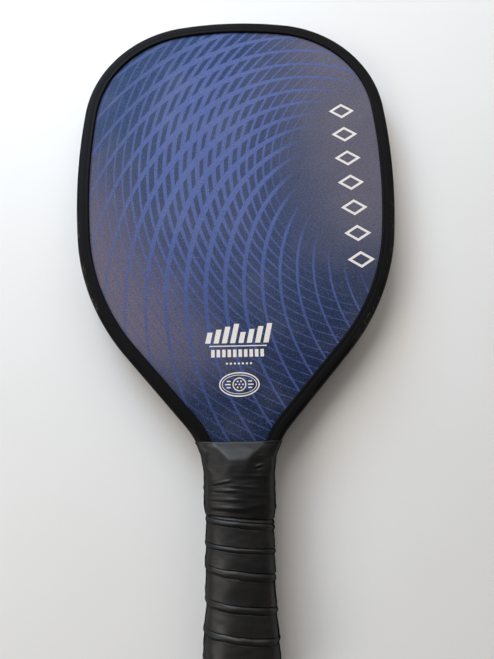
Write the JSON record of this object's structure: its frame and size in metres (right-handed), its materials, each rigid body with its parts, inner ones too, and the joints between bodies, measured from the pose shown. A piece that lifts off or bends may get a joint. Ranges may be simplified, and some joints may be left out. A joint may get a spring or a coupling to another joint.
{
  "type": "pickleball paddle",
  "caption": "Flat paddle with a rounded head in a channel edge guard, and a short wrapped handle with a collar and a flared butt.",
  "frame": {"origin": "centre of the butt end's flat face, at the bottom of the handle", "axes": "+Y along the handle to the top of the head, +Z out of the front playing face, +X across the head to the right seen from the front"},
  "size_m": [0.1998, 0.4, 0.0338],
  "materials": {
    "honeycomb": "matte",
    "scrim": "matte",
    "composite": "satin",
    "printed_film": "satin",
    "guard_rubber": "satin",
    "adhesive_tape": "matte",
    "pallet_foam": "matte",
    "cap_plastic": "satin",
    "staple_steel": "satin",
    "grip_skin": "satin",
    "finishing_tape": "satin",
    "collar_rubber": "satin"
  },
  "bodies": {
    "root": {"core_panel": "honeycomb", "front_core_scrim": "scrim", "back_core_scrim": "scrim", "front_face_sheet": "composite", "back_face_sheet": "composite", "front_graphic_film": "printed_film", "back_graphic_film": "printed_film", "edge_guard": "guard_rubber", "edge_guard_tape": "adhesive_tape", "front_handle_pallet": "pallet_foam", "back_handle_pallet": "pallet_foam", "front_pallet_tape": "adhesive_tape", "back_pallet_tape": "adhesive_tape", "butt_cap": "cap_plastic", "butt_end_disc": "cap_plastic", "front_staple_left": "staple_steel", "front_staple_right": "staple_steel", "back_staple_left": "staple_steel", "back_staple_right": "staple_steel", "grip_adhesive": "adhesive_tape", "grip_wrap": "grip_skin", "grip_finishing_tape": "finishing_tape", "throat_collar": "collar_rubber"}
  },
  "joints": []
}
